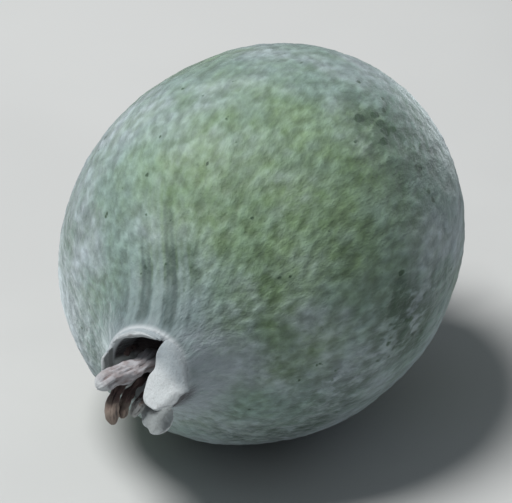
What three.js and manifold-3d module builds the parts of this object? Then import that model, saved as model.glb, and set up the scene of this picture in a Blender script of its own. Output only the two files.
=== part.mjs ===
// A feijoa fruit as picked, lying on its side on a small flat spot.
// Units are millimetres, with +Z up. The origin is on the flat spot, below the fruit's axis.
// The axis runs along Y: the calyx points to -Y and the stalk to +Y.
//
// The fruit is one body. At its calyx end the skin draws in to a short tube around an open cup.
// Four sepals stand on the tube's rim, and the dried style and the last dried stamens stand in
// the cup. A short stub of stalk is left in the dimple at the other end.
import * as THREE from "three";
import { mergeVertices } from "three/addons/utils/BufferGeometryUtils.js";
import Module from "manifold-3d";

const wasm = await Module();
wasm.setup();

// ---- Driving dimensions ----

const HALF_WIDTH = 25; // radius at the waist
const STALK_HALF = 32.3; // waist to the plain oval's pole at the stalk
const CALYX_HALF = 31; // and at the calyx
const AXIS_HEIGHT = 24.25; // above the surface, low enough to leave a small flat spot
const CALYX_TAPER = 0.14; // how much narrower than a plain oval the calyx half gets
const CALYX_OFFSET = { x: 0.7, z: -0.85 }; // the calyx sits a little off the fruit's axis
const LEAN_START = 16; // from the waist to where the skin starts to draw over to it
const FIT_GAP = 0.3; // between pieces that grow out of each other

// The calyx tube and its cup
const RIM_Y = -34;
const RIM_RADIUS = 6;
const RIM_WALL = 1;
const RIM_ROUNDING = RIM_WALL * 0.45; // how far the rim's rounding stands beyond RIM_Y
const CUP_FLOOR_Y = -29.8;
const CUP_FLOOR_RADIUS = 3.8;
const NECK_ANGLE = 60; // degrees round the oval from the waist, where the calyx tube begins

// The dimple that holds the stalk
const DIMPLE_Y = 30.7;
const SHOULDER_ANGLE = 73; // degrees round the oval from the waist, where the dimple begins

// Fineness of the meshes
const ROUND_STEPS = 64;
const OVAL_STEPS = 30;
const CURVE_STEPS = 5;
const SEPAL_STEPS = { across: 8, along: 12 };

// ---- Finishes ----

const SKIN = { color: 0x7d9682, roughness: 0.65 };
const SEPAL_FELT = { color: 0xb9c2c2, roughness: 0.85 };
const STYLE_SKIN = { color: 0xa39a94, roughness: 0.8 };
const STAMEN_SKIN = { color: 0x6d4a40, roughness: 0.85 };
const STALK_BARK = { color: 0x7a7358, roughness: 0.8 };

// ---- Booleans ----

// A closed geometry as a solid that can be cut.
function solidOf(geometry) {
  const bare = geometry.clone();
  bare.deleteAttribute("normal");
  bare.deleteAttribute("uv");
  const merged = mergeVertices(bare, 1e-3);
  return new wasm.Manifold(
    new wasm.Mesh({
      numProp: 3,
      vertProperties: merged.attributes.position.array,
      triVerts: new Uint32Array(merged.index.array),
    }),
  );
}

// A solid as a geometry again.
function geometryOf(solid) {
  const mesh = solid.getMesh();
  const geometry = new THREE.BufferGeometry();
  geometry.setAttribute("position", new THREE.BufferAttribute(mesh.vertProperties, 3));
  geometry.setIndex(new THREE.BufferAttribute(mesh.triVerts, 1));
  geometry.computeVertexNormals();
  return geometry;
}

// ---- The fruit's body ----

// A point on the oval, at an angle from the waist: positive towards the stalk.
function ovalPoint(degrees) {
  const angle = THREE.MathUtils.degToRad(degrees);
  const radius = HALF_WIDTH * Math.cos(angle);
  if (degrees > 0) {
    return new THREE.Vector2(radius, STALK_HALF * Math.sin(angle));
  }
  const taper = 1 - CALYX_TAPER * Math.sin(angle) ** 4;
  return new THREE.Vector2(radius * taper, CALYX_HALF * Math.sin(angle));
}

// The direction along the oval there, towards the stalk.
function ovalDirection(degrees) {
  return ovalPoint(degrees + 1).sub(ovalPoint(degrees - 1)).normalize();
}

// Half of the body's section, as (radius, Y), from the cup's floor round to the dimple's.
function bodyOutline() {
  const mouthRadius = RIM_RADIUS - RIM_WALL;
  const neck = ovalPoint(-NECK_ANGLE);
  const neckHandle = neck.clone().addScaledVector(ovalDirection(-NECK_ANGLE), -4);
  const calyxEnd = new THREE.Path();
  calyxEnd.moveTo(0, CUP_FLOOR_Y);
  calyxEnd.bezierCurveTo(
    CUP_FLOOR_RADIUS * 0.6, CUP_FLOOR_Y + 0.2,
    CUP_FLOOR_RADIUS, CUP_FLOOR_Y - 0.2,
    CUP_FLOOR_RADIUS + 0.2, CUP_FLOOR_Y - 1.5,
  );
  calyxEnd.lineTo(mouthRadius, RIM_Y);
  calyxEnd.bezierCurveTo(
    mouthRadius, RIM_Y - RIM_ROUNDING,
    RIM_RADIUS, RIM_Y - RIM_ROUNDING,
    RIM_RADIUS, RIM_Y,
  );
  calyxEnd.bezierCurveTo(
    RIM_RADIUS + 0.1, RIM_Y + 1.2,
    neckHandle.x, neckHandle.y,
    neck.x, neck.y,
  );

  const oval = [];
  for (let i = 1; i < OVAL_STEPS; i++) {
    oval.push(ovalPoint(THREE.MathUtils.lerp(-NECK_ANGLE, SHOULDER_ANGLE, i / OVAL_STEPS)));
  }

  const shoulder = ovalPoint(SHOULDER_ANGLE);
  const dimple = new THREE.CubicBezierCurve(
    shoulder,
    shoulder.clone().addScaledVector(ovalDirection(SHOULDER_ANGLE), 2.5),
    new THREE.Vector2(2.6, DIMPLE_Y),
    new THREE.Vector2(0, DIMPLE_Y),
  );
  return [...calyxEnd.getPoints(CURVE_STEPS), ...oval, ...dimple.getPoints(CURVE_STEPS + 2)];
}

// A grown fruit is never quite round: how much wider than the oval it is, going round.
function roundness(angle, along) {
  const share = 1 - (along / CALYX_HALF) ** 2; // no change at the ends
  const lobes = 0.011 * Math.cos(2 * angle - 0.5) + 0.007 * Math.cos(3 * angle + 1.1);
  return 1 + Math.max(0, share) * lobes;
}

function bodyGeometry() {
  const turned = new THREE.LatheGeometry(bodyOutline(), ROUND_STEPS);
  const position = turned.attributes.position;
  for (let i = 0; i < position.count; i++) {
    const x = position.getX(i);
    const y = position.getY(i);
    const z = position.getZ(i);
    const scale = roundness(Math.atan2(z, x), y);
    const lean = THREE.MathUtils.smoothstep(-y, LEAN_START, -CUP_FLOOR_Y);
    position.setXYZ(i, x * scale + CALYX_OFFSET.x * lean, y, z * scale + CALYX_OFFSET.z * lean);
  }
  // The flat spot, where its own weight has pressed the skin level
  const surface = new THREE.BoxGeometry(80, 100, 20);
  surface.translate(0, 0, -AXIS_HEIGHT - 10);
  return geometryOf(solidOf(turned).subtract(solidOf(surface)));
}

// ---- The calyx ----

// Each sepal is a curved tongue. Its midrib's points are (sideways, outwards, along) from the
// middle of the tube's rim, where along is the way that the calyx points.
const SEPAL_FOOT_RADIUS = RIM_RADIUS - RIM_WALL / 2;
const SEPAL_FOOT = [0, SEPAL_FOOT_RADIUS, RIM_ROUNDING + FIT_GAP];
const SEPALS = [
  {
    name: "sepal_right", turn: 24, halfWidth: 3.7, thickness: 0.95, twist: 80, tipCurl: 0.25,
    blunt: 11, point: 1.2, waist: 0.22,
    midrib: [SEPAL_FOOT, [0, 6.3, 3.4], [0.1, 3.9, 3.2], [3.3, 3.3, 6.7]],
  },
  {
    name: "sepal_upper", turn: 107, halfWidth: 3.8, thickness: 0.65, twist: 0, tipCurl: 0.16,
    blunt: 2.5, point: 0.8, waist: 0,
    midrib: [SEPAL_FOOT, [0, 5.5, 1], [0, 5.5, 1.3], [0, 5.5, 1.6]],
  },
  {
    name: "sepal_left", turn: 184, halfWidth: 2.5, thickness: 0.85, twist: 0, tipCurl: 0.2,
    blunt: 3, point: 0.6, waist: 0,
    midrib: [SEPAL_FOOT, [0, 5.6, 1.1], [0, 5.7, 1.5], [0, 5.5, 2]],
  },
  {
    name: "sepal_lower", turn: 290, halfWidth: 2.3, thickness: 0.9, twist: 0, tipCurl: 0.08,
    blunt: 4, point: 0.5, waist: 0,
    midrib: [SEPAL_FOOT, [-0.1, 5.6, 2], [-1.1, 6.2, 3], [-2, 7.3, 3.8]],
  },
];

// Half of the tongue's width at a share of its length, from 1 at the foot to the tip. It's
// narrower by the waist halfway along.
function tongueWidth(share, blunt, point, waist) {
  return (1 - (0.985 * share) ** blunt) ** point * (1 - waist * Math.sin(Math.PI * share) ** 2);
}

function sepalGeometry({ halfWidth, thickness, twist, tipCurl, blunt, point, waist, midrib }) {
  const rib = new THREE.CubicBezierCurve3(...midrib.map((p) => new THREE.Vector3(...p)));
  const tongue = new THREE.BoxGeometry(2, 2, 1, SEPAL_STEPS.across, 1, SEPAL_STEPS.along);
  const position = tongue.attributes.position;
  for (let i = 0; i < position.count; i++) {
    const across = position.getX(i);
    const face = position.getY(i); // 1 on the outer face and -1 on the inner one
    const share = 1 - (0.5 - position.getZ(i)) ** 1.5; // closer rows towards the tip
    const forward = rib.getTangent(share);
    const side = new THREE.Vector3(1, 0, 0).addScaledVector(forward, -forward.x).normalize();
    side.applyAxisAngle(forward, THREE.MathUtils.degToRad(twist) * share);
    const outward = new THREE.Vector3().crossVectors(forward, side);
    const curvature = THREE.MathUtils.lerp(1 / SEPAL_FOOT_RADIUS, tipCurl, share);
    const bend = across * halfWidth * tongueWidth(share, blunt, point, waist) * curvature;
    const depth = (face * thickness * (1 - 0.5 * across ** 4) * (1 - 0.45 * share ** 2)) / 2;
    const place = rib.getPoint(share);
    place.addScaledVector(side, Math.sin(bend) / curvature + depth * Math.sin(bend));
    place.addScaledVector(outward, (Math.cos(bend) - 1) / curvature + depth * Math.cos(bend));
    position.setXYZ(i, place.x, place.y, place.z);
  }
  return tongue;
}

// ---- The dried flower parts ----

// Each is a tapered thread along a curve. Its points are (across, up, along) from the middle of
// the rim, and its first one is in the cup.
const THREADS = [
  {
    name: "dried_style", finish: STYLE_SKIN, radius: 1.15, tipRadius: 0.95,
    points: [[0.3, 0.3, -3.7], [-0.4, 0.7, 0], [-1.7, 0.4, 3], [-3.2, 0.1, 5], [-4.4, -0.8, 6.3]],
  },
  {
    name: "dried_stamen_1", finish: STAMEN_SKIN, radius: 0.45, tipRadius: 0.65,
    points: [
      [-2.4, -1.1, -2.6], [-2.8, -1.6, 1], [-2.75, -2.3, 3.7], [-2.35, -3.6, 5.9], [-1.8, -5.4, 6.7],
    ],
  },
  {
    name: "dried_stamen_2", finish: STAMEN_SKIN, radius: 0.45, tipRadius: 0.58,
    points: [
      [-1.1, -2.3, -2.6], [-1.6, -2.7, 1], [-1.65, -3.2, 2.9], [-1.5, -4.15, 4.4], [-1.25, -5.1, 5.15],
    ],
  },
  {
    name: "dried_stamen_3", finish: STAMEN_SKIN, radius: 0.3, tipRadius: 0.65,
    points: [[0.3, -2.6, -2.6], [0.15, -3.2, 1], [-0.1, -4, 2.6], [-0.55, -5.4, 3.7]],
  },
  {
    name: "dried_stamen_4", finish: STAMEN_SKIN, radius: 0.36, tipRadius: 0.3,
    points: [[1.5, -2, -2.6], [1.6, -2.4, 0.4], [1.4, -2.4, 2], [1, -2.2, 3]],
  },
  {
    name: "dried_stamen_5", finish: STAMEN_SKIN, radius: 0.36, tipRadius: 0.3,
    points: [[-2.9, 1.3, -2.6], [-3.2, 1.5, -1.6], [-3.3, 1.4, -0.8], [-3.2, 1.1, 0]],
  },
];
const THREAD_STEPS = { round: 10, along: 14 };

function threadGeometry({ radius, tipRadius, points }) {
  const path = new THREE.CatmullRomCurve3(
    points.map(([x, z, along]) => new THREE.Vector3(x, z, along)),
  );
  const frames = path.computeFrenetFrames(THREAD_STEPS.along);
  const thread = new THREE.CylinderGeometry(1, 1, 1, THREAD_STEPS.round, THREAD_STEPS.along);
  const position = thread.attributes.position;
  for (let i = 0; i < position.count; i++) {
    const share = position.getY(i) + 0.5;
    const row = Math.round(share * THREAD_STEPS.along);
    const ending = 1 - 0.4 * Math.abs(2 * share - 1) ** 16; // the ends are narrowed
    const reach = THREE.MathUtils.lerp(radius, tipRadius, share) * ending;
    const place = path.getPointAt(share);
    place.addScaledVector(frames.normals[row], position.getX(i) * reach);
    place.addScaledVector(frames.binormals[row], -position.getZ(i) * reach);
    position.setXYZ(i, place.x, place.y, place.z);
  }
  return thread;
}

// ---- The stalk ----

const STALK_RADIUS = 1.5;
const STALK_CUT_Y = 37;

function stalkGeometry() {
  const foot = DIMPLE_Y + FIT_GAP;
  const outline = new THREE.SplineCurve([
    new THREE.Vector2(STALK_RADIUS * 0.8, foot),
    new THREE.Vector2(STALK_RADIUS, foot + 0.6),
    new THREE.Vector2(STALK_RADIUS * 0.85, foot + 2.6),
    new THREE.Vector2(STALK_RADIUS, STALK_CUT_Y),
  ]).getPoints(10);
  const middleOfFoot = new THREE.Vector2(0, foot);
  const middleOfCut = new THREE.Vector2(0, STALK_CUT_Y + 0.2);
  return new THREE.LatheGeometry([middleOfFoot, ...outline, middleOfCut], 20);
}

// ---- Build ----

function pieceOf(name, geometry, finish) {
  const material = new THREE.MeshStandardMaterial({ ...finish, metalness: 0 });
  const mesh = new THREE.Mesh(geometry, material);
  mesh.name = name;
  return mesh;
}

const fruit = new THREE.Group();
fruit.position.z = AXIS_HEIGHT;
fruit.add(pieceOf("fruit_body", bodyGeometry(), SKIN));
fruit.add(pieceOf("stalk_stub", stalkGeometry(), STALK_BARK));

// In the calyx group Z runs the way that the calyx points, and Y is up.
const calyx = new THREE.Group();
calyx.position.set(CALYX_OFFSET.x, RIM_Y, CALYX_OFFSET.z);
calyx.rotation.x = Math.PI / 2;
fruit.add(calyx);

for (const sepal of SEPALS) {
  const mesh = pieceOf(sepal.name, sepalGeometry(sepal), SEPAL_FELT);
  mesh.rotation.z = THREE.MathUtils.degToRad(sepal.turn - 90);
  calyx.add(mesh);
}
for (const thread of THREADS) {
  calyx.add(pieceOf(thread.name, threadGeometry(thread), thread.finish));
}

const model = new THREE.Group();
model.add(fruit);

export default model;
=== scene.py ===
# The looks of a feijoa fruit that lies on its side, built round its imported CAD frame.
# Shapes are worked out in millimetres, in the frame's own axes: the fruit's axis runs along Y,
# with the calyx at -Y and the stalk at +Y. Each piece is scaled to metres when it is made.
import math

import bpy
import numpy as np
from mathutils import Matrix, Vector, noise


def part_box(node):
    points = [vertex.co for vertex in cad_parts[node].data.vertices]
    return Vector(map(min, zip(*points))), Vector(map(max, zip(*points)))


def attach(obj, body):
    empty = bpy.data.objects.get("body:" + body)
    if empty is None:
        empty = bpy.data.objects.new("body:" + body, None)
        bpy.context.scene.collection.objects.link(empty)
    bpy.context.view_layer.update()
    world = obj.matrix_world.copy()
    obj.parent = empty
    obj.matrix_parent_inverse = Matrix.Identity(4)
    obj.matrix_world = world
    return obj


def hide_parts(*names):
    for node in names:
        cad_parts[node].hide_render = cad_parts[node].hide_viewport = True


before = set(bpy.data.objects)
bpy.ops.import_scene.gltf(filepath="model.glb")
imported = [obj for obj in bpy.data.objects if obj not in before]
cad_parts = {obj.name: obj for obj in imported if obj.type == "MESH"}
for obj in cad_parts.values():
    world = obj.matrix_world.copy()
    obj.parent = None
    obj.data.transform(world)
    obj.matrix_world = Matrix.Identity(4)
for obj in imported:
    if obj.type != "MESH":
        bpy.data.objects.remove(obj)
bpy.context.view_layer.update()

MM = 0.001  # one millimetre in metres

# ---- Sizes from the frame, in millimetres ----


def box_of(node):
    return [np.array(corner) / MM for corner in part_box(node)]


body_low, body_high = box_of("fruit_body")
stalk_low, stalk_high = box_of("stalk_stub")

FIT_GAP = 0.3  # between pieces that grow out of each other
LOBES = ((2, 0.011, -0.5), (3, 0.007, 1.1))  # count, height and turn: the fruit isn't quite round
LOBE_GAIN = 1.009  # how much wider they make the fruit's box
HALF_WIDTH = (body_high[0] - body_low[0]) / 2 / LOBE_GAIN
AXIS_HEIGHT = HALF_WIDTH * 0.97  # the flat spot lies this far below the axis
STALK_HALF = HALF_WIDTH * 1.292  # waist to the plain oval's pole at the stalk
CALYX_HALF = HALF_WIDTH * 1.24  # and at the calyx
CALYX_TAPER = 0.14  # how much narrower than a plain oval the calyx half gets
CALYX_OFFSET = np.array([0.7, 0.0, -0.85])  # the calyx sits a little off the fruit's axis
LEAN_START = 16  # from the waist to where the skin starts to draw over to it
NECK_ANGLE = 60  # degrees round the oval from the waist, where the calyx tube begins
SHOULDER_ANGLE = 73  # and where the dimple for the stalk begins
DIMPLE_Y = stalk_low[1] - FIT_GAP

# The calyx tube and its cup
RIM_WALL = 1.0
RIM_RADIUS = 6.0
RIM_ROUNDING = RIM_WALL * 0.45  # the reach of the rim's curve, which bulges three quarters of it
RIM_Y = body_low[1] + RIM_ROUNDING * 0.75
CUP_DEPTH = 4.2
CUP_FLOOR_Y = RIM_Y + CUP_DEPTH
CUP_FLOOR_RADIUS = 3.8

SKIN_ROWS, SKIN_AROUND = 244, 392


# ---- Meshes ----


def signed_volume(points, faces):
    total = 0.0
    for face in faces:
        first = points[face[0]]
        for i in range(1, len(face) - 1):
            total += np.dot(first, np.cross(points[face[i]], points[face[i + 1]]))
    return total / 6


def ringed_mesh(name, first, rings, last, values, vectors=None):
    """A closed piece: rings of points from one end point to the other, all in millimetres.

    values and vectors hold what the material reads at each point, as arrays over the rings."""
    rows, around = rings.shape[:2]
    points = np.vstack([[first], rings.reshape(-1, 3), [last]])
    end = len(points) - 1
    faces, places = [], []

    def at(row, step):
        return 1 + row * around + step % around

    def place(row, step):
        return (step / around, (row + 1) / (rows + 1))

    for step in range(around):
        middle = (step + 0.5) / around
        faces.append((0, at(0, step), at(0, step + 1)))
        places += [(middle, 0.0), place(0, step), place(0, step + 1)]
        for row in range(rows - 1):
            faces.append((at(row, step), at(row + 1, step), at(row + 1, step + 1), at(row, step + 1)))
            places += [place(row, step), place(row + 1, step)]
            places += [place(row + 1, step + 1), place(row, step + 1)]
        faces.append((at(rows - 1, step), end, at(rows - 1, step + 1)))
        places += [place(rows - 1, step), (middle, 1.0), place(rows - 1, step + 1)]
    if signed_volume(points, faces) < 0:
        corners, turned = 0, []
        for face in faces:
            turned += places[corners:corners + len(face)][::-1]
            corners += len(face)
        faces, places = [face[::-1] for face in faces], turned

    mesh = bpy.data.meshes.new(name)
    mesh.from_pydata((points * MM).tolist(), [], faces)
    mesh.shade_smooth()
    mesh.uv_layers.new(name="OFBake").data.foreach_set("uv", np.array(places).ravel())
    for label, held in values.items():
        all_held = np.concatenate([[held[0].mean()], held.ravel(), [held[-1].mean()]])
        mesh.attributes.new(label, "FLOAT", "POINT").data.foreach_set("value", all_held)
    for label, held in (vectors or {}).items():
        all_held = np.vstack([[held[0].mean(axis=0)], held.reshape(-1, 3), [held[-1].mean(axis=0)]])
        mesh.attributes.new(label, "FLOAT_VECTOR", "POINT").data.foreach_set("vector", all_held.ravel())
    piece = bpy.data.objects.new(name, mesh)
    bpy.context.scene.collection.objects.link(piece)
    return piece


def capped_mesh(name, rings, values):
    """A closed piece whose end points are the middles of its first and last rings."""
    return ringed_mesh(name, rings[0].mean(axis=0), rings, rings[-1].mean(axis=0), values)


def finish_piece(piece, material, node):
    piece.data.materials.append(material)
    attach(piece, "root")
    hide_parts(node)


def smoothstep(x, start, end):
    share = np.clip((np.asarray(x, float) - start) / (end - start), 0, 1)
    return share * share * (3 - 2 * share)


def bezier(points, t):
    a, b, c, d = (np.array(p, float) for p in points)
    return a * (1 - t) ** 3 + 3 * b * t * (1 - t) ** 2 + 3 * c * t ** 2 * (1 - t) + d * t ** 3


def bezier_direction(points, t):
    a, b, c, d = (np.array(p, float) for p in points)
    along = (b - a) * (1 - t) ** 2 + 2 * (c - b) * t * (1 - t) + (d - c) * t ** 2
    return along / np.linalg.norm(along)


def bezier_line(points, steps):
    """The curve as a line of this many steps, without its first point."""
    return bezier(points, np.linspace(0, 1, steps + 1)[1:, None])


def round_angles(count):
    return np.arange(count) * 2 * math.pi / count


# ---- Materials ----


class Finish:
    """One procedural material, with short names for the nodes that it is built from."""

    def __init__(self, name, roughness, specular, sheen=0.0, sheen_roughness=0.5, sheen_tint=(1, 1, 1)):
        self.material = bpy.data.materials.new(name)
        self.material.use_nodes = True
        self.tree = self.material.node_tree
        self.shader = self.tree.nodes["Principled BSDF"]
        self.shader.inputs["Roughness"].default_value = roughness
        self.shader.inputs["Specular IOR Level"].default_value = specular
        self.shader.inputs["Sheen Weight"].default_value = sheen
        self.shader.inputs["Sheen Roughness"].default_value = sheen_roughness
        self.shader.inputs["Sheen Tint"].default_value = (*sheen_tint, 1)
        self.place = self.scaled(self.node("ShaderNodeTexCoord").outputs["Object"], 1 / MM)

    def node(self, kind, **settings):
        made = self.tree.nodes.new(kind)
        for key, value in settings.items():
            setattr(made, key, value)
        return made

    def feed(self, socket, value):
        if isinstance(value, bpy.types.NodeSocket):
            self.tree.links.new(value, socket)
        elif isinstance(value, tuple) and len(value) == 3 and socket.type == "RGBA":
            socket.default_value = (*value, 1)
        else:
            socket.default_value = value

    def scaled(self, vector, by):
        made = self.node("ShaderNodeVectorMath", operation="MULTIPLY")
        self.feed(made.inputs[0], vector)
        self.feed(made.inputs[1], by if isinstance(by, tuple) else (by, by, by))
        return made.outputs["Vector"]

    def held(self, label, output="Fac"):
        return self.node("ShaderNodeAttribute", attribute_name=label).outputs[output]

    def noise(self, at, size, detail=3.0, roughness=0.5, output="Fac"):
        """Cloudy noise with lumps about size millimetres across."""
        made = self.node("ShaderNodeTexNoise")
        self.feed(made.inputs["Vector"], at)
        made.inputs["Scale"].default_value = 1 / size
        made.inputs["Detail"].default_value = detail
        made.inputs["Roughness"].default_value = roughness
        return made.outputs[output]

    def wobbled(self, at, size, by):
        """The same places, each pushed about by up to half of by."""
        centred = self.node("ShaderNodeVectorMath", operation="SUBTRACT")
        self.feed(centred.inputs[0], self.noise(at, size, 2, output="Color"))
        self.feed(centred.inputs[1], (0.5, 0.5, 0.5))
        moved = self.node("ShaderNodeVectorMath", operation="ADD")
        self.feed(moved.inputs[0], at)
        self.feed(moved.inputs[1], self.scaled(centred.outputs["Vector"], by))
        return moved.outputs["Vector"]

    def cells(self, at, size):
        """The distance from the nearest of many scattered points, in cells size millimetres wide."""
        made = self.node("ShaderNodeTexVoronoi")
        self.feed(made.inputs["Vector"], at)
        made.inputs["Scale"].default_value = 1 / size
        return made.outputs["Distance"]

    def spread(self, value, start, end, low=0.0, high=1.0):
        """value goes smoothly from low to high as it passes from start to end."""
        made = self.node("ShaderNodeMapRange", interpolation_type="SMOOTHSTEP")
        for socket, given in zip(made.inputs, (value, start, end, low, high)):
            self.feed(socket, given)
        return made.outputs["Result"]

    def maths(self, operation, a, b):
        made = self.node("ShaderNodeMath", operation=operation)
        self.feed(made.inputs[0], a)
        self.feed(made.inputs[1], b)
        return made.outputs[0]

    def product(self, a, b):
        return self.maths("MULTIPLY", a, b)

    def total(self, first, *others):
        for other in others:
            first = self.maths("ADD", first, other)
        return first

    def mix(self, share, a, b, kind="MIX"):
        """Share 0 gives a and share 1 gives b. The node's colour sockets have these numbers."""
        made = self.node("ShaderNodeMix", data_type="RGBA", blend_type=kind)
        self.feed(made.inputs["Factor"], share)
        self.feed(made.inputs[6], a)
        self.feed(made.inputs[7], b)
        return made.outputs[2]

    def bump(self, height, deep):
        """deep is how many millimetres a height of 1 stands up."""
        made = self.node("ShaderNodeBump")
        made.inputs["Distance"].default_value = deep * MM
        self.feed(made.inputs["Height"], height)
        return made.outputs["Normal"]

    def show(self, **sockets):
        """Feeds the shader's own sockets, and returns the finished material."""
        for label, value in sockets.items():
            self.feed(self.shader.inputs[label.replace("_", " ")], value)
        return self.material


# ---- The fruit's skin ----


def oval_point(degrees):
    angle = math.radians(degrees)
    radius = HALF_WIDTH * math.cos(angle)
    if degrees > 0:
        return np.array([radius, STALK_HALF * math.sin(angle)])
    taper = 1 - CALYX_TAPER * math.sin(angle) ** 4
    return np.array([radius * taper, CALYX_HALF * math.sin(angle)])


def oval_direction(degrees):
    step = oval_point(degrees + 1) - oval_point(degrees - 1)
    return step / np.linalg.norm(step)


# How far the corners and handles of the outline's curves are set off
CUP_FLARE, CUP_CORNER = 0.2, 1.5
TUBE_FLARE, TUBE_REACH = 0.1, 1.2
NECK_REACH = 4
SHOULDER_REACH = 2.5
DIMPLE_REACH = 2.6

CUP_FLOOR_REACH = 0.6  # this one as a share of the floor's radius

# The steps of each part of the outline, before its points are spaced as the rows are
CUP_STEPS, WALL_STEPS, RIM_STEPS = 60, 39, 40
TUBE_STEPS, OVAL_STEPS, DIMPLE_STEPS = 120, 799, 120


def skin_outline():
    """Half of the body's section, as (radius, Y), from the cup's floor round to the dimple's.
    Also returns which point is on the rim's crest."""
    mouth = RIM_RADIUS - RIM_WALL
    neck = oval_point(-NECK_ANGLE)
    shoulder = oval_point(SHOULDER_ANGLE)
    cup_middle = (0, CUP_FLOOR_Y)
    cup_side = (CUP_FLOOR_RADIUS + CUP_FLARE, CUP_FLOOR_Y - CUP_CORNER)
    cup = bezier_line(
        [cup_middle, (CUP_FLOOR_RADIUS * CUP_FLOOR_REACH, CUP_FLOOR_Y + CUP_FLARE),
         (CUP_FLOOR_RADIUS, CUP_FLOOR_Y - CUP_FLARE), cup_side], CUP_STEPS)
    wall = np.linspace(cup_side, (mouth, RIM_Y), WALL_STEPS + 1)[1:]
    rim = bezier_line(
        [(mouth, RIM_Y), (mouth, RIM_Y - RIM_ROUNDING),
         (RIM_RADIUS, RIM_Y - RIM_ROUNDING), (RIM_RADIUS, RIM_Y)], RIM_STEPS)
    tube = bezier_line(
        [(RIM_RADIUS, RIM_Y), (RIM_RADIUS + TUBE_FLARE, RIM_Y + TUBE_REACH),
         neck - NECK_REACH * oval_direction(-NECK_ANGLE), neck], TUBE_STEPS)
    oval_angles = np.linspace(-NECK_ANGLE, SHOULDER_ANGLE, OVAL_STEPS + 1)[1:]
    oval = [oval_point(angle) for angle in oval_angles]
    dimple = bezier_line(
        [shoulder, shoulder + SHOULDER_REACH * oval_direction(SHOULDER_ANGLE),
         (DIMPLE_REACH, DIMPLE_Y), (0, DIMPLE_Y)], DIMPLE_STEPS)
    crest = 1 + len(cup) + len(wall) + len(rim) // 2
    return np.vstack([cup_middle, cup, wall, rim, tube, oval, dimple]), crest


RIM_FINENESS = 1.6  # how many more rows there are at the rim than elsewhere, as a share
RIM_FINE_REACH = 7  # how far from the rim they are closer
SLOPE_STEP = 0.2  # to each side of a row, to measure the skin's direction there


def spaced_rows(outline, crest, rows):
    """Rows along the outline, closer on the tube. Returns radius, Y, the distance outwards from
    the rim's crest, and the direction square to the skin as (radial, Y)."""
    steps = np.linalg.norm(np.diff(outline, axis=0), axis=1)
    along = np.concatenate([[0], np.cumsum(steps)])
    from_rim = along - along[crest]
    fineness = 1 + RIM_FINENESS * np.exp(-(from_rim[:-1] / RIM_FINE_REACH) ** 2)
    weight = np.concatenate([[0], np.cumsum(steps * fineness)])
    wanted = np.linspace(0, weight[-1], rows + 2)[1:-1]
    place = np.interp(wanted, weight, along)
    radius, y = (np.interp(place, along, column) for column in outline.T)
    slope = [
        np.interp(place + SLOPE_STEP, along, column) - np.interp(place - SLOPE_STEP, along, column)
        for column in outline.T
    ]
    length = np.hypot(*slope)
    return radius, y, place - along[crest], slope[1] / length, -slope[0] / length


# Angles round the tube are measured from +X, towards +Z
PEBBLE = 1.2  # across the fruit, and PEBBLE_STRETCH times as long along it
PEBBLE_STRETCH = 1.45
PEBBLE_HEIGHT = 0.16
RIB_COUNT = 10  # round the tube's rim
RIB_TURN = -2.62
RIB_MIDDLE = math.radians(115)  # where the ribs run straight up from the tube
RIB_STRONGEST = math.radians(88)
RIB_SPREAD = math.radians(42)
RIB_LEAST = 0.30  # their strength elsewhere
FINE_RIB_COUNT = 31
FINE_RIB_SHARE = 0.35
RIB_HEIGHT = 0.13
SWELL_HEIGHT = 0.16
SWELL, FINE_SWELL = 9, 4  # how wide the swells are
LEAST_RADIUS = 0.4  # at the ends of the axis, where the relief would bunch up

# How far from the rim's crest each of these fades, from start to end
RIB_RISE = (0.5, 2.5)
RIB_FADE = (3, 23)
PEBBLE_RISE = (2, 14)
SWELL_RISE = (0.6, 5)
SLATE_FADE = (2, 12)
DOWNY_FADE = (3.0, 5.5)  # into the cup

# How far over the skin the tube's wax reaches where it's thinnest, and how much further full wax
# reaches at the right and at the left
WAX_REACH, WAX_REACH_RIGHT, WAX_REACH_LEFT = 3.2, 8.5, 14
LEFT_WAX = 0.28  # how much of full wax the left has

# Parts of the way round the tube, in degrees: their middle, and how far they reach to each side
RIBBED_TOP, RIBBED_LEFT = (100, 75), (200, 90)
WAXY_RIGHT, WAXY_LEFT = (-15, 95), (190, 85)
SLATY = (110, 100)
# The part below the widest sepal, where the tube gets a painted shadow
SHADED_BELOW_SEPAL = (-42, 38)
DOWNY = (225, 62)
BARE_LEFT, BARE_RIGHT = (222, 62), (0, 60)

# Spots on the skin: each one's middle from the middle of the axis, its radius and its strength
CHEEKS = (  # where the bloom is thin
    ((9.5, -13, 15), 17.5, 1.0),
    ((14, -18, 6), 9.5, 0.8),
    ((7, -21, 8), 9, 0.9),
    ((-17, 12, 12), 13, 1.0),
    ((16, 17, -9), 14, 1.0),
    ((-14, -8, -18), 12, 1.0),
)
DUSKY = (  # where the skin is mottled with dark green
    ((19, 8, 17), 10, 0.75),
    ((2, -23, 7), 6, 0.7),
    ((18, -15, -8), 7, 0.65),
    ((25, -5, -2), 8, 0.9),
    ((-20, -16, 3), 9, 0.5),
    # This low one in front is painted shade: it darkens the fruit's underside with dark green mottling
    ((8, -16, -18), 9, 1.0),
    ((-22, 6, -8), 13, 0.8),
    ((2, 20, -20), 12, 0.8),
)
FLECKED = (  # where the small dark flecks are thickest
    ((20, 5, 16), 10, 1.0),
    ((23, -9, -2), 9, 0.8),
    ((10, -18, 10), 8, 0.4),
    ((-20, 2, 8), 10, 0.7),
    ((-4, 22, 6), 12, 0.7),
)


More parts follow.
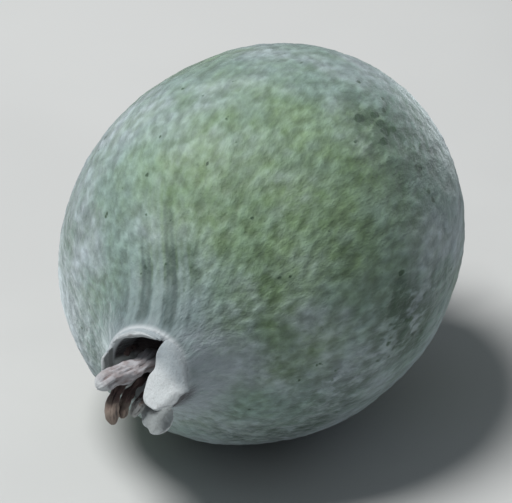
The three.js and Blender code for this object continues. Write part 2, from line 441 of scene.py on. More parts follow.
def skin_relief(angle, from_rim, radius):
    """The skin's small relief at one point: where it is on the stretched skin, the pebbles'
    height from 0 to 1, the ribs' from -1 to 1, and the broad swells'."""
    # Towards the fruit's ends the pattern narrows less than the fruit does
    spread = HALF_WIDTH * (radius / HALF_WIDTH) ** 0.7
    at = Vector((spread * math.cos(angle), spread * math.sin(angle), from_rim))
    fine = Vector((at.x, at.y, at.z / PEBBLE_STRETCH)) / PEBBLE
    height = 0.5 + 0.75 * noise.noise(fine) + 0.35 * noise.noise(fine * 2.1 + Vector((7, 3, 1)))
    height = min(1.0, max(0.0, height))
    wobble = noise.noise(Vector((3 * math.cos(angle), 3 * math.sin(angle), from_rim / 14)))
    # The ribs keep their width as the fruit widens, so they run side by side
    off = (angle - RIB_MIDDLE + math.pi) % (2 * math.pi) - math.pi
    ribbed = RIB_MIDDLE + off * max(1.0, radius / RIM_RADIUS)
    strength = RIB_LEAST + (1 - RIB_LEAST) * math.exp(-((ribbed - RIB_STRONGEST) / RIB_SPREAD) ** 2)
    strength *= 1 + 0.5 * noise.noise(Vector((1.7 * ribbed, from_rim / 9, 9.1)))
    rib = math.cos(RIB_COUNT * ribbed + RIB_TURN + 0.6 * wobble)
    rib += FINE_RIB_SHARE * math.cos(FINE_RIB_COUNT * ribbed + 2 * wobble)
    rib = max(-1.0, min(1.0, rib)) * strength
    swell = noise.noise(at / SWELL) + 0.5 * noise.noise(at / FINE_SWELL + Vector((2, 5, 8)))
    return at, height, rib, swell


def near_spots(points, spots, ragged):
    """The strength of the strongest spot at each point, falling to 0 around them all."""
    share = np.zeros(points.shape[:2])
    for middle, reach, strength in spots:
        away = np.linalg.norm(points - np.array(middle) - [0, 0, AXIS_HEIGHT], axis=-1)
        here = strength * (1 - smoothstep(away + ragged, 0.3 * reach, 1.5 * reach))
        share = np.maximum(share, here)
    return share


def near_part(angles, part):
    """1 in the middle of a part of the way round, falling to 0 at its ends."""
    middle, half = part
    away = np.abs((np.degrees(angles) - middle + 180) % 360 - 180)
    return 1 - smoothstep(away, 0.3 * half, half)


def rib_share(angles, from_rim, swell):
    """How strongly the ribs show, from 0 to 1."""
    part = np.maximum(near_part(angles, RIBBED_TOP), 0.35 * near_part(angles, RIBBED_LEFT))
    rise = smoothstep(from_rim, *RIB_RISE)
    fade = 1 - smoothstep(from_rim + 6 * swell, *RIB_FADE)
    return rise * fade * (0.04 + 0.96 * part)


def tube_marks(angles, from_rim, swell):
    """What marks the calyx tube and its cup, each from 0 to 1."""
    # The wax on the tube reaches far over the skin on one side, and hardly at all on top
    right_wax = near_part(angles, WAXY_RIGHT)
    left_wax = LEFT_WAX * near_part(angles, WAXY_LEFT)
    reach = WAX_REACH + WAX_REACH_RIGHT * right_wax + WAX_REACH_LEFT * left_wax
    most = np.maximum(0.35 + 0.6 * right_wax, left_wax)
    wax = most * (1 - smoothstep(from_rim + 1.6 * swell, 0.25 * reach, reach))
    slate = 0.9 * near_part(angles, SLATY) * (1 - smoothstep(from_rim, *SLATE_FADE))
    # A painted shadow darkens the tube below the widest sepal
    shadow_and_stain = near_part(angles, SHADED_BELOW_SEPAL) * np.exp(-((from_rim - 0.9) / 1.5) ** 2)
    # The cup's wall is downy on its lower left side. The rim's felt is thin there and on its right
    downy = smoothstep(near_part(angles, DOWNY) + 0.3 * swell, 0.15, 0.50)
    downy = downy * (1 - smoothstep(-from_rim, *DOWNY_FADE))
    bare = np.maximum(0.8 * near_part(angles, BARE_LEFT), 0.7 * near_part(angles, BARE_RIGHT))
    felted = np.broadcast_to(1 - bare, swell.shape)
    return {"wax": wax, "slate": slate, "shadow_and_stain": shadow_and_stain, "downy": downy, "felted": felted}


def relief_of_rows(angles, from_rim, radius):
    """What skin_relief finds at every point of the mesh, each as an array over its rows."""
    shape = (len(from_rim), len(angles))
    at = np.empty((*shape, 3))
    height, rib, swell = np.empty(shape), np.empty(shape), np.empty(shape)
    for row in range(len(from_rim)):
        for step, angle in enumerate(angles):
            found = skin_relief(angle, from_rim[row], max(radius[row], LEAST_RADIUS))
            at[row, step], height[row, step], rib[row, step], swell[row, step] = found
    return at, height, rib, swell


def skin_points(angles, radius, y, raised, out_radial, out_y):
    """The outline turned round the axis, a little lobed, raised square to its surface, and drawn
    over to the calyx."""
    lobes = sum(high * np.cos(count * angles + turn) for count, high, turn in LOBES)
    lobe_share = np.maximum(0, 1 - (y / CALYX_HALF) ** 2)
    wide = radius * (1 + lobe_share * lobes) + raised * out_radial
    lean = smoothstep(-y, LEAN_START, -CUP_FLOOR_Y)
    points = np.empty((*wide.shape, 3))
    points[..., 0] = wide * np.cos(angles) + CALYX_OFFSET[0] * lean
    points[..., 1] = y + raised * out_y
    points[..., 2] = AXIS_HEIGHT + wide * np.sin(angles) + CALYX_OFFSET[2] * lean
    points[..., 2] = np.maximum(points[..., 2], 0)  # the flat spot
    return points


def skin_mesh():
    angles = round_angles(SKIN_AROUND)
    rows = spaced_rows(*skin_outline(), SKIN_ROWS)
    at, height, rib, swell = relief_of_rows(angles, rows[2], rows[0])
    radius, y, from_rim, out_radial, out_y = (column[:, None] for column in rows)
    ribs = rib * rib_share(angles, from_rim, swell)
    raised = (
        PEBBLE_HEIGHT * (height - 0.5) * (0.15 + 0.85 * smoothstep(from_rim, *PEBBLE_RISE))
        + RIB_HEIGHT * ribs
        + SWELL_HEIGHT * swell * smoothstep(from_rim, *SWELL_RISE)
    )
    points = skin_points(angles, radius, y, raised, out_radial, out_y)
    values = {
        "from_rim": np.broadcast_to(from_rim, height.shape),
        "relief": height,
        "rib": 0.5 + 0.5 * ribs,
        "cheek": near_spots(points, CHEEKS, 5 * swell),
        "dusky": near_spots(points, DUSKY, 6 * swell),
        "flecked": near_spots(points, FLECKED, 5 * swell),
        **tube_marks(angles, from_rim, swell),
    }
    first = np.array([CALYX_OFFSET[0], CUP_FLOOR_Y, AXIS_HEIGHT + CALYX_OFFSET[2]])
    last = np.array([0, DIMPLE_Y, AXIS_HEIGHT])
    return ringed_mesh("fruit_skin", first, points, last, values, {"skin_at": at})


GREEN_DEEP = (0.043, 0.082, 0.046)
GREEN = (0.135, 0.213, 0.115)
GREEN_PALE = (0.188, 0.280, 0.160)
BLOOM = (0.208, 0.296, 0.268)
BLOOM_PALE = (0.350, 0.412, 0.445)
NECK_SLATE = (0.108, 0.150, 0.160)
# Painted shade between the ribs, and painted light on their crests
RIB_GROOVE_SHADE = (0.062, 0.092, 0.088)
RIB_CREST_LIGHT = (0.255, 0.330, 0.335)
LAVENDER = (0.325, 0.375, 0.410)
RIM_WHITE = (0.580, 0.620, 0.650)
# A near black that stands for shade: painted shade in the cup and in creases, and a painted shadow below
# the widest sepal
CUP_SHADE = (0.045, 0.036, 0.038)
CUP_DOWN = (0.660, 0.720, 0.730)
LENGTHWISE_SQUEEZE = 0.45  # makes a pattern longer along the fruit than across it


def bloomed(f, lengthwise, relief):
    """Green skin under its bloom, which is thin on the cheeks and uneven everywhere."""
    green = f.mix(f.spread(f.noise(f.place, 8), 0.35, 0.68), GREEN, GREEN_PALE)
    thick = f.spread(f.held("cheek"), 0.0, 1.0, 0.84, 0.14)
    patches = f.spread(f.noise(f.place, 7), 0.3, 0.7, -0.16, 0.16)
    broken = f.spread(f.noise(lengthwise, 2.2, 4, 0.6), 0.3, 0.7, -0.12, 0.12)
    share = f.total(thick, patches, broken, f.spread(relief, 0.0, 1.0, -0.10, 0.10))
    share.node.use_clamp = True
    bloom = f.mix(f.spread(f.noise(f.place, 12), 0.38, 0.7), BLOOM, BLOOM_PALE)
    return f.mix(f.held("slate"), f.mix(share, green, bloom), NECK_SLATE)


def mottled(f, colour, at, lengthwise):
    """Dark green mottling on the dusky spots, one of which, low in front, is painted shade on the
    underside; and small dark flecks.
    """
    mottling = f.spread(f.noise(lengthwise, 1.9, 4, 0.6), 0.38, 0.53, 0.10, 0.92)
    colour = f.mix(f.product(f.held("dusky"), mottling), colour, GREEN_DEEP)
    away = f.cells(f.wobbled(f.scaled(at, (1, 1, 0.7)), 0.8, 0.7), 2.2)
    stray = f.spread(f.noise(f.place, 5, 2), 0.42, 0.66, 0.0, 0.15)
    size = f.total(stray, f.product(f.held("flecked"), 0.23))
    fleck = f.spread(f.maths("SUBTRACT", size, away), -0.04, 0.06, 0.0, 0.93)
    return f.mix(fleck, colour, GREEN_DEEP)


def with_ribs(f, colour):
    """Ribs run up from the tube: painted shade darkens the grooves between them, and painted light makes
    their crests pale.
    """
    rib = f.held("rib")
    colour = f.mix(f.spread(rib, 0.50, 0.10, 0.0, 0.76), colour, RIB_GROOVE_SHADE)
    return f.mix(f.spread(rib, 0.50, 0.90, 0.0, 0.60), colour, RIB_CREST_LIGHT)


def with_tube_and_cup(f, colour, lengthwise):
    """The tube is waxy, with a white felted rim and a painted shadow below the widest sepal. Inside, the
    cup is painted dark as shade, except on its downy lower left side.
    """
    from_rim = f.held("from_rim")
    uneven = f.spread(f.noise(lengthwise, 1.5, 4, 0.6), 0.35, 0.62, 0.55, 1.0)
    colour = f.mix(f.product(f.held("wax"), uneven), colour, LAVENDER)
    felt = f.product(f.held("felted"), f.spread(from_rim, 1.5, 0.2, 0.0, 0.85))
    colour = f.mix(felt, colour, RIM_WHITE)
    # Painted shadow on the tube below the widest sepal
    colour = f.mix(f.product(f.held("shadow_and_stain"), 0.95), colour, CUP_SHADE)
    # Inside the cup: painted shade, except where the wall is downy
    lining = f.mix(f.held("downy"), CUP_SHADE, CUP_DOWN)
    return f.mix(f.spread(from_rim, -0.45, -1.1), colour, lining)


def skin_finish():
    f = Finish("feijoa_skin", 0.62, 0.28, sheen=0.68, sheen_roughness=0.38, sheen_tint=(0.84, 0.94, 1.0))
    at = f.held("skin_at", "Vector")
    lengthwise = f.scaled(at, (1, 1, LENGTHWISE_SQUEEZE))
    relief = f.held("relief")
    dapple = f.noise(lengthwise, 1.35, 3, 0.6)
    colour = mottled(f, bloomed(f, lengthwise, relief), at, lengthwise)

    # The dapple's tone differs at random. The pebbles' crests are painted paler and their grooves
    # darker: partly bloom on the crests, partly painted light and shade on the relief
    tone = f.product(f.spread(dapple, 0.3, 0.7, 0.77, 1.21), f.spread(relief, 0.1, 0.9, 0.86, 1.12))
    colour = f.mix(1.0, colour, tone, "MULTIPLY")
    colour = with_tube_and_cup(f, with_ribs(f, colour), lengthwise)

    height = f.total(f.product(f.noise(at, 0.35, 4, 0.65), 0.35), f.product(dapple, 2.0))
    rough = f.spread(f.noise(at, 2.5), 0.3, 0.7, 0.55, 0.72)
    return f.show(Base_Color=colour, Roughness=rough, Normal=f.bump(height, 0.15))


# ---- The sepals ----

SEPAL_FOOT_RADIUS = RIM_RADIUS - RIM_WALL / 2
SEPAL_FOOT = (0, SEPAL_FOOT_RADIUS, RIM_ROUNDING + FIT_GAP)
# turn is in degrees round the tube. midrib is a curve's four points (sideways, outwards, along)
# from the middle of the rim, as they are for a sepal on top. The sepal turns by twist degrees on
# its way to the tip, where its curl is 1 / tip_curl mm in radius. Its outline is fuller the
# higher blunt is, more pointed the higher point is, and narrower by the waist halfway along.
SEPALS = {
    "sepal_right": dict(
        turn=24, half_width=3.7, thickness=0.95, twist=80, tip_curl=0.25,
        blunt=11, point=1.2, waist=0.22,
        midrib=(SEPAL_FOOT, (0, 6.3, 3.4), (0.1, 3.9, 3.2), (3.3, 3.3, 6.7))),
    "sepal_upper": dict(
        turn=107, half_width=3.8, thickness=0.65, twist=0, tip_curl=0.16,
        blunt=2.5, point=0.8, waist=0,
        midrib=(SEPAL_FOOT, (0, 5.5, 1), (0, 5.5, 1.3), (0, 5.5, 1.6))),
    "sepal_left": dict(
        turn=184, half_width=2.5, thickness=0.85, twist=0, tip_curl=0.2,
        blunt=3, point=0.6, waist=0,
        midrib=(SEPAL_FOOT, (0, 5.6, 1.1), (0, 5.7, 1.5), (0, 5.5, 2))),
    "sepal_lower": dict(
        turn=290, half_width=2.3, thickness=0.9, twist=0, tip_curl=0.08,
        blunt=4, point=0.5, waist=0,
        midrib=(SEPAL_FOOT, (-0.1, 5.6, 2), (-1.1, 6.2, 3), (-2, 7.3, 3.8))),
}
# How pale each one's inner side still is
FRESHNESS = {"sepal_right": 0.9, "sepal_upper": 1.0, "sepal_left": 0.3, "sepal_lower": 0.8}
SEPAL_ROWS, SEPAL_AROUND = 56, 72
ROOT_DEPTH = 1.6  # how far a sepal's foot runs down into the tube's wall
ROOT_SHARES = (-0.12, -0.06)  # its two rows, as shares of the sepal's length before its foot
TIP_SHARE = 0.985  # a sepal stops here on the way to its outline's point, so its tip isn't sharp
CRUMPLE, FINE_CRUMPLE = 0.36, 0.16
RAGGED_EDGE = 0.30  # how far it strays, as a share of the half width


def calyx_place(points, turn=90.0):
    """Points (sideways, outwards, along) from the middle of the rim, turned round the tube."""
    angle = math.radians(turn - 90)
    x = points[..., 0] * math.cos(angle) - points[..., 1] * math.sin(angle)
    up = points[..., 0] * math.sin(angle) + points[..., 1] * math.cos(angle)
    return np.stack(
        [CALYX_OFFSET[0] + x, RIM_Y - points[..., 2], AXIS_HEIGHT + CALYX_OFFSET[2] + up], axis=-1)


def turned_about(vector, axis, angle):
    return (
        vector * math.cos(angle)
        + np.cross(axis, vector) * math.sin(angle)
        + axis * np.dot(axis, vector) * (1 - math.cos(angle))
    )


def sepal_width(share, blunt, point, waist):
    """A sepal's width at a share of its length, as a share of its full width."""
    outline = (1 - (TIP_SHARE * share) ** blunt) ** point
    return outline * (1 - waist * math.sin(math.pi * share) ** 2)


def sepal_piece(name, fresh, turn, half_width, thickness, twist, tip_curl, blunt, point, waist, midrib):
    # The section is a rounded square from -1 to 1, both across the sepal and through it
    angles = round_angles(SEPAL_AROUND)
    box = (np.cos(angles) ** 4 + np.sin(angles) ** 4) ** 0.25
    across, face = np.cos(angles) / box, np.sin(angles) / box
    # The rows lie closer together towards the tip
    shares = [*ROOT_SHARES, *(1 - (1 - t) ** 1.6 for t in np.linspace(0, 1, SEPAL_ROWS - 2))]
    shape = (SEPAL_ROWS, SEPAL_AROUND)
    rings = np.empty((*shape, 3))
    for row, share in enumerate(shares):
        length = max(share, 0.0)
        place, forward = bezier(midrib, length), bezier_direction(midrib, length)
        if share < 0:
            place = place - np.array([0, 0, ROOT_DEPTH * share / ROOT_SHARES[0]])
        side = np.array([1.0, 0, 0]) - forward * forward[0]
        side = turned_about(side / np.linalg.norm(side), forward, math.radians(twist) * length)
        outward = np.cross(forward, side)
        curvature = (1 - length) / SEPAL_FOOT_RADIUS + length * tip_curl
        width = half_width * sepal_width(length, blunt, point, waist)
        for step, a in enumerate(across):
            crumple = noise.noise(Vector((a * 1.6 + turn, length * 3.1, 0.4))) * CRUMPLE * length
            crumple += noise.noise(Vector((a * 4 + turn, length * 5, 2.4))) * FINE_CRUMPLE * length
            ragged = 1 + RAGGED_EDGE * length * noise.noise(Vector((turn, length * 6, a * 0.6)))
            bend = a * width * curvature * ragged
            depth = face[step] * thickness * (1 - 0.5 * a ** 4) * (1 - 0.45 * length ** 2) / 2
            depth += crumple * min(1.0, (1 - length) * 8)
            rings[row, step] = (
                place
                + side * (math.sin(bend) / curvature + depth * math.sin(bend))
                + outward * ((math.cos(bend) - 1) / curvature + depth * math.cos(bend))
            )
    values = {
        "outer": np.broadcast_to(0.5 + 0.5 * face, shape),
        "tip": np.broadcast_to(np.maximum(shares, 0)[:, None], shape),
        "side": np.broadcast_to(0.5 + 0.5 * across, shape),
        "fresh": np.full(shape, fresh),
    }
    return capped_mesh(name + "_felt", calyx_place(rings, turn), values)


FELT_WHITE = (0.570, 0.610, 0.630)
FELT_PALE = (0.490, 0.540, 0.555)
FELT_GREY = (0.270, 0.292, 0.288)
FELT_BROWN = (0.100, 0.085, 0.075)
SEPAL_SKIN = (0.330, 0.382, 0.412)


def felt_finish():
    f = Finish("sepal_felt", 0.9, 0.12, sheen=0.35, sheen_roughness=0.6, sheen_tint=(0.92, 0.96, 1.0))
    outer, tip, side = f.held("outer"), f.held("tip"), f.held("side")
    cloud = f.noise(f.place, 1.6, 4, 0.6)
    fibres = f.noise(f.scaled(f.place, (1, 0.3, 1)), 0.22, 4, 0.7)
    # Outside, waxy skin at the foot turns to white felt towards the tip
    white = f.spread(f.maths("SUBTRACT", tip, f.product(side, 0.15)), 0.25, 0.62)
    outside = f.mix(white, SEPAL_SKIN, FELT_WHITE)
    outside = f.mix(f.spread(cloud, 0.42, 0.75, 0.0, 0.5), outside, FELT_PALE)
    inside = f.mix(f.held("fresh"), FELT_GREY, FELT_PALE)
    inside = f.mix(f.spread(cloud, 0.4, 0.7, 0.0, 0.4), inside, FELT_GREY)
    colour = f.mix(f.spread(outer, 0.3, 0.55), inside, outside)
    colour = f.mix(f.spread(fibres, 0.4, 0.75, 0.0, 0.25), colour, FELT_BROWN)
    # The sepal's very tip is stained brown
    shadow_and_stain = f.product(f.spread(tip, 0.93, 1.0), f.spread(cloud, 0.45, 0.6, 0.0, 0.5))
    colour = f.mix(shadow_and_stain, colour, FELT_BROWN)
    height = f.total(fibres, f.product(f.noise(f.place, 0.7), 0.8))
    return f.show(Base_Color=colour, Normal=f.bump(height, 0.12))


# ---- The dried style and stamens ----

# Each one's radius at its root and at its tip, how flat it is, and where it goes: points (sideways,
# up, out of the cup) from the middle of the rim
THREADS = {
    "dried_style": dict(
        radius=1.15, tip_radius=0.95, flatness=0.14,
        points=((0.3, 0.3, -3.7), (-0.4, 0.7, 0), (-1.7, 0.4, 3), (-3.2, 0.1, 5), (-4.4, -0.8, 6.3))),
    "dried_stamen_1": dict(
        radius=0.45, tip_radius=0.65, flatness=0.28,
        points=(
            (-2.4, -1.1, -2.6), (-2.8, -1.6, 1), (-2.75, -2.3, 3.7), (-2.35, -3.6, 5.9),
            (-1.8, -5.4, 6.7))),
    "dried_stamen_2": dict(
        radius=0.45, tip_radius=0.58, flatness=0.28,
        points=(
            (-1.1, -2.3, -2.6), (-1.6, -2.7, 1), (-1.65, -3.2, 2.9), (-1.5, -4.15, 4.4),
            (-1.25, -5.1, 5.15))),
    "dried_stamen_3": dict(
        radius=0.3, tip_radius=0.65, flatness=0.28,
        points=((0.3, -2.6, -2.6), (0.15, -3.2, 1), (-0.1, -4, 2.6), (-0.55, -5.4, 3.7))),
    "dried_stamen_4": dict(
        radius=0.36, tip_radius=0.3, flatness=0.28,
        points=((1.5, -2, -2.6), (1.6, -2.4, 0.4), (1.4, -2.4, 2), (1, -2.2, 3))),
    "dried_stamen_5": dict(
        radius=0.36, tip_radius=0.3, flatness=0.28,
        points=((-2.9, 1.3, -2.6), (-3.2, 1.5, -1.6), (-3.3, 1.4, -0.8), (-3.2, 1.1, 0))),
}
ANTHERS = ("dried_stamen_3",)  # the stamens that still have one
THREAD_ROWS, THREAD_AROUND = 150, 48
THREAD_FULLNESS = 1.12  # makes up for what the folds take in
PATH_STEPS = 60  # between two of a path's points, before they're evened out
WRINKLE, CREASE, PUCKER = 0.30, 0.24, 0.13  # the depth of ever finer folds, as shares of the radius
ROOT_BLUNTNESS, TIP_BLUNTNESS = 22, 9  # the lower, the longer the taper


def smooth_path(points, steps):
    """Evenly spaced points on a smooth curve through these ones."""
    p = [np.array(q, float) for q in points]
    p = [2 * p[0] - p[1], *p, 2 * p[-1] - p[-2]]
    curve = []
    for i in range(1, len(p) - 2):
        gaps = [np.linalg.norm(p[i + k + 1] - p[i + k]) ** 0.5 for k in (-1, 0, 1)]
        before = (p[i] - p[i - 1]) / gaps[0] - (p[i + 1] - p[i - 1]) / (gaps[0] + gaps[1])
        before = (before + (p[i + 1] - p[i]) / gaps[1]) * gaps[1]
        after = (p[i + 1] - p[i]) / gaps[1] - (p[i + 2] - p[i]) / (gaps[1] + gaps[2])
        after = (after + (p[i + 2] - p[i + 1]) / gaps[2]) * gaps[1]
        for t in np.linspace(0, 1, PATH_STEPS, endpoint=False):
            curve.append(
                p[i] * (2 * t ** 3 - 3 * t ** 2 + 1) + before * (t ** 3 - 2 * t ** 2 + t)
                + p[i + 1] * (3 * t ** 2 - 2 * t ** 3) + after * (t ** 3 - t ** 2)
            )
    curve = np.array([*curve, p[-2]])
    along = np.concatenate([[0], np.cumsum(np.linalg.norm(np.diff(curve, axis=0), axis=1))])
    wanted = np.linspace(0, along[-1], steps)
    return np.stack([np.interp(wanted, along, column) for column in curve.T], axis=1)


def thread_piece(name, anther, radius, tip_radius, flatness, points):
    path = smooth_path(points, THREAD_ROWS)
    directions = np.gradient(path, axis=0)
    directions /= np.linalg.norm(directions, axis=1)[:, None]
    side = np.cross(directions[0], [0.3, 0.9, 0.1])  # any direction that isn't along the thread
    shape = (THREAD_ROWS, THREAD_AROUND)
    rings, ridge = np.empty((*shape, 3)), np.empty(shape)
    shares = np.arange(THREAD_ROWS) / (THREAD_ROWS - 1)
    key = sum(map(ord, name)) % 37  # its own place in the noise
    for row, share in enumerate(shares):
        side = side - directions[row] * np.dot(side, directions[row])
        side /= np.linalg.norm(side)
        across = np.cross(directions[row], side)
        # It's flattened, widest sideways, and twists a little
        widest = math.atan2(across[0], side[0]) + 0.7 * noise.noise(Vector((key, share * 3, 8.6)))
        bluntness = TIP_BLUNTNESS if share > 0.5 else ROOT_BLUNTNESS
        ending = max(0.1, 1 - abs(2 * share - 1) ** bluntness) ** 0.5
        pinch = 1 + 0.4 * noise.noise(Vector((key, share * 6, 1.3)))
        reach = (radius * (1 - share) + tip_radius * share) * ending * pinch
        for step, angle in enumerate(round_angles(THREAD_AROUND)):
            at = Vector((math.cos(angle), math.sin(angle), 0))
            wrinkle = noise.noise(1.7 * at + Vector((0, 0, share * 4 + key)))
            crease = noise.noise(3.6 * at + Vector((0, 0, share * 6 + key)))
            pucker = noise.noise(6.5 * at + Vector((0, 0, share * 17 + key)))
            folds = WRINKLE * wrinkle + CREASE * crease + PUCKER * pucker
            out = reach * (THREAD_FULLNESS + flatness * math.cos(2 * (angle - widest)) + folds)
            rings[row, step] = path[row] + out * (side * math.cos(angle) + across * math.sin(angle))
            ridge[row, step] = 0.5 + 0.4 * wrinkle + 0.5 * crease + 0.4 * pucker
    stands_out = points[-1][2] > 0
    values = {
        "tip": np.broadcast_to(shares[:, None], shape),
        "ridge": ridge,
        "anther": np.full(shape, anther),
        "faded": np.full(shape, float(stands_out)),
    }
    return capped_mesh(name + "_skin", calyx_place(rings), values)


STYLE_PALE = (0.400, 0.400, 0.425)
STYLE_PINK = (0.290, 0.255, 0.262)
DRIED_BROWN = (0.086, 0.060, 0.056)
DRIED_RED = (0.165, 0.108, 0.098)
DRIED_BEIGE = (0.305, 0.252, 0.212)
ANTHER_PALE = (0.400, 0.410, 0.405)


def style_finish():
    f = Finish("dried_style_skin", 0.8, 0.2, sheen=0.15)
    tip, ridge = f.held("tip"), f.held("ridge")
    cloud = f.noise(f.place, 1.1, 4, 0.6)
    colour = f.mix(f.spread(cloud, 0.38, 0.68), STYLE_PALE, STYLE_PINK)
    # Its base is painted dark as the cup's shade, it's shrivelled brown in its creases, and its end is
    # pale and frayed
    edge = f.total(tip, f.spread(cloud, 0.3, 0.7, -0.06, 0.06))
    colour = f.mix(f.spread(ridge, 0.42, 0.05, 0.0, 0.75), colour, DRIED_RED)
    colour = f.mix(f.spread(edge, 0.86, 0.97, 0.0, 0.8), colour, FELT_WHITE)
    # Painted shade on the part that sits in the cup
    colour = f.mix(f.spread(edge, 0.40, 0.12, 0.0, 0.94), colour, CUP_SHADE)
    height = f.noise(f.scaled(f.place, (1, 0.5, 1)), 0.3, 4, 0.65)
    return f.show(Base_Color=colour, Normal=f.bump(height, 0.16))


def stamen_finish():
    f = Finish("dried_stamen_skin", 0.8, 0.2, sheen=0.1)
    tip, ridge = f.held("tip"), f.held("ridge")
    cloud = f.noise(f.place, 0.9, 4, 0.6)
    colour = f.mix(f.spread(cloud, 0.35, 0.65), DRIED_RED, DRIED_BROWN)
    edge = f.total(tip, f.spread(cloud, 0.3, 0.7, -0.08, 0.08))
    # Tips that stand out of the cup have faded. Painted shade darkens them in the cup and in their
    # creases
    faded = f.product(f.held("faded"), f.spread(edge, 0.62, 0.85, 0.0, 0.75))
    colour = f.mix(faded, colour, DRIED_BEIGE)
    anther = f.product(f.held("anther"), f.spread(edge, 0.66, 0.80))
    colour = f.mix(anther, colour, ANTHER_PALE)
    # Painted shade in the creases, then in the cup
    colour = f.mix(f.spread(ridge, 0.42, 0.05, 0.0, 0.7), colour, CUP_SHADE)
    colour = f.mix(f.spread(edge, 0.38, 0.14, 0.0, 0.9), colour, CUP_SHADE)
    return f.show(Base_Color=colour, Normal=f.bump(f.noise(f.place, 0.22, 3, 0.6), 0.12))


# ---- The stalk ----

STALK_RADIUS = 1.5
STALK_SIDE = ((0.8, -0.5), (1, 0.6), (0.85, 2.6))  # its width as a share, and how far from its foot
BARK_ROWS, CUT_ROWS, STALK_AROUND = 66, 14, 64
CUT_SET_BACK = 0.2  # from the end of the frame's stub to the cut's rim
CUT_DOME = 0.18
BARK_DEPTH = 0.05  # as a share of the radius
BARK_FINENESS = 2.4
CUT_ROUGHNESS = 0.05


def stalk_outline():
    """(radius, Y, share of the way over the cut's face) from the foot to the middle of the cut."""
    cut = stalk_high[1] - CUT_SET_BACK
    side = [(STALK_RADIUS * wide, stalk_low[1] + away, 0) for wide, away in STALK_SIDE]
    side = smooth_path([*side, (STALK_RADIUS, cut, 0)], BARK_ROWS)
    outline = [(radius, y, 0.0) for radius, y, _ in side]
    # The cut's rim is rounded, and its face is slightly domed
    for share in np.linspace(0, 1, CUT_ROWS + 1)[1:]:
        radius = STALK_RADIUS * (1 - share ** 1.5)
        dome = CUT_DOME * (1 - (radius / STALK_RADIUS) ** 2)
        outline.append((max(radius, 0.05), cut + dome, share))
    return outline


def stalk_piece():
    shape = (BARK_ROWS + CUT_ROWS, STALK_AROUND)
    rings, cut_face, crack = np.empty((*shape, 3)), np.empty(shape), np.empty(shape)
    for row, (radius, y, share) in enumerate(stalk_outline()):
        for step, angle in enumerate(round_angles(STALK_AROUND)):
            at = Vector((BARK_FINENESS * math.cos(angle), BARK_FINENESS * math.sin(angle), y * 0.5))
            bark = noise.fractal(at, 0.8, 2.1, 4)
            out = radius * (1 + BARK_DEPTH * bark)
            x, up = out * math.cos(angle), out * math.sin(angle)
            rough = CUT_ROUGHNESS * noise.noise(Vector((x * 2, up * 2, 3.0))) if share > 0.15 else 0
            rings[row, step] = (x, y + rough, AXIS_HEIGHT + up)
            cut_face[row, step] = share
            crack[row, step] = 0.5 + 0.5 * bark
    return capped_mesh("stalk_bark", rings, {"cut_face": cut_face, "crack": crack})


BARK_GREEN = (0.150, 0.165, 0.085)
BARK_BROWN = (0.110, 0.075, 0.045)
BARK_GREY = (0.290, 0.280, 0.230)
CUT_WOOD = (0.420, 0.370, 0.240)


def bark_finish():
    f = Finish("stalk_bark_skin", 0.85, 0.2)
    cut_face, crack = f.held("cut_face"), f.held("crack")
    streaks = f.noise(f.scaled(f.place, (1, 0.3, 1)), 0.5, 4, 0.6)
    colour = f.mix(f.spread(streaks, 0.35, 0.65), BARK_GREEN, BARK_BROWN)
    colour = f.mix(f.spread(crack, 0.5, 0.75, 0.0, 0.7), colour, BARK_GREY)
    wood = f.mix(f.spread(f.noise(f.place, 0.4), 0.4, 0.65, 0.0, 0.7), CUT_WOOD, BARK_BROWN)
    colour = f.mix(f.spread(cut_face, 0.12, 0.3), colour, wood)
    return f.show(Base_Color=colour, Normal=f.bump(f.noise(f.place, 0.25, 4, 0.65), 0.12))


# ---- The floor, the light and the camera, in metres ----

CAMERA_TURN, CAMERA_RISE = 26, 29  # degrees round the fruit and above the horizon
CAMERA_DISTANCE = 2.5
LENS_MM = 1350
AIM = Vector((0.0, -0.0010, 0.0240))

KEY_TOWARD = Vector((-0.32, -0.16, 0.93))
KEY_DISTANCE = 0.9
KEY_SIZE = 0.40
KEY_POWER = 9.6
KEY_COLOUR = (1.0, 0.99, 0.97)
SKY_COLOUR = (0.86, 0.93, 1.0, 1)
SKY_STRENGTH = 0.19


def direction(turn, rise):
    a, e = math.radians(turn), math.radians(rise)
    return Vector((math.sin(a) * math.cos(e), -math.cos(a) * math.cos(e), math.sin(e)))


def place_facing(name, data, back, distance):
    """Stands a camera or a light this far back from the aim, and points it there."""
    thing = bpy.data.objects.new(name, data)
    thing.location = AIM + back * distance
    thing.rotation_mode = "QUATERNION"
    thing.rotation_quaternion = back.to_track_quat("Z", "Y")
    bpy.context.scene.collection.objects.link(thing)
    return thing


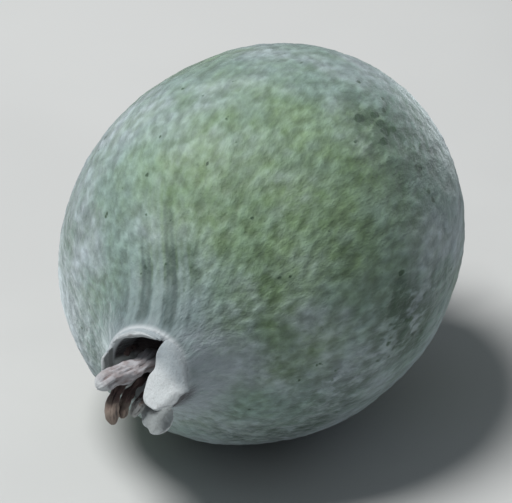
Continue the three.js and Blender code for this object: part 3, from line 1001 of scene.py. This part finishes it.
def make_camera():
    data = bpy.data.cameras.new("camera")
    data.lens = LENS_MM
    data.clip_start, data.clip_end = 0.01, 100
    back = direction(CAMERA_TURN, CAMERA_RISE)
    bpy.context.scene.camera = place_facing("camera", data, back, CAMERA_DISTANCE)


def make_key_light():
    data = bpy.data.lights.new("key", "AREA")
    data.shape = "DISK"
    data.size = KEY_SIZE
    data.energy = KEY_POWER
    data.color = KEY_COLOUR
    place_facing("key", data, KEY_TOWARD.normalized(), KEY_DISTANCE)


FLOOR_PALE = (0.56, 0.57, 0.57)
FLOOR_DIM = (0.53, 0.54, 0.54)
FLOOR_RADIUS = 6.0
FLOOR_STEPS = 96


def floor_finish():
    f = Finish("studio_floor", 0.9, 0.1)
    tone = f.spread(f.noise(f.place, 60), 0.35, 0.65)
    return f.show(Base_Color=f.mix(tone, FLOOR_PALE, FLOOR_DIM))


def make_floor():
    mesh = bpy.data.meshes.new("floor")
    edge = [
        (FLOOR_RADIUS * math.cos(angle), FLOOR_RADIUS * math.sin(angle), 0)
        for angle in round_angles(FLOOR_STEPS)
    ]
    mesh.from_pydata(edge, [], [tuple(range(FLOOR_STEPS))])
    mesh.materials.append(floor_finish())
    floor = bpy.data.objects.new("floor", mesh)
    bpy.context.scene.collection.objects.link(floor)


def make_world():
    world = bpy.data.worlds.new("studio")
    world.use_nodes = True
    back = world.node_tree.nodes["Background"]
    back.inputs["Color"].default_value = SKY_COLOUR
    back.inputs["Strength"].default_value = SKY_STRENGTH
    bpy.context.scene.world = world
    bpy.context.scene.view_settings.view_transform = "Standard"


# ---- Build ----

make_camera()
make_floor()
make_world()
make_key_light()

finish_piece(skin_mesh(), skin_finish(), "fruit_body")
sepal_felt = felt_finish()
for name, sizes in SEPALS.items():
    finish_piece(sepal_piece(name, FRESHNESS[name], **sizes), sepal_felt, name)
style_skin, stamen_skin = style_finish(), stamen_finish()
for name, sizes in THREADS.items():
    thread = thread_piece(name, float(name in ANTHERS), **sizes)
    if name == "dried_style":
        finish_piece(thread, style_skin, name)
    else:
        finish_piece(thread, stamen_skin, name)
finish_piece(stalk_piece(), bark_finish(), "stalk_stub")
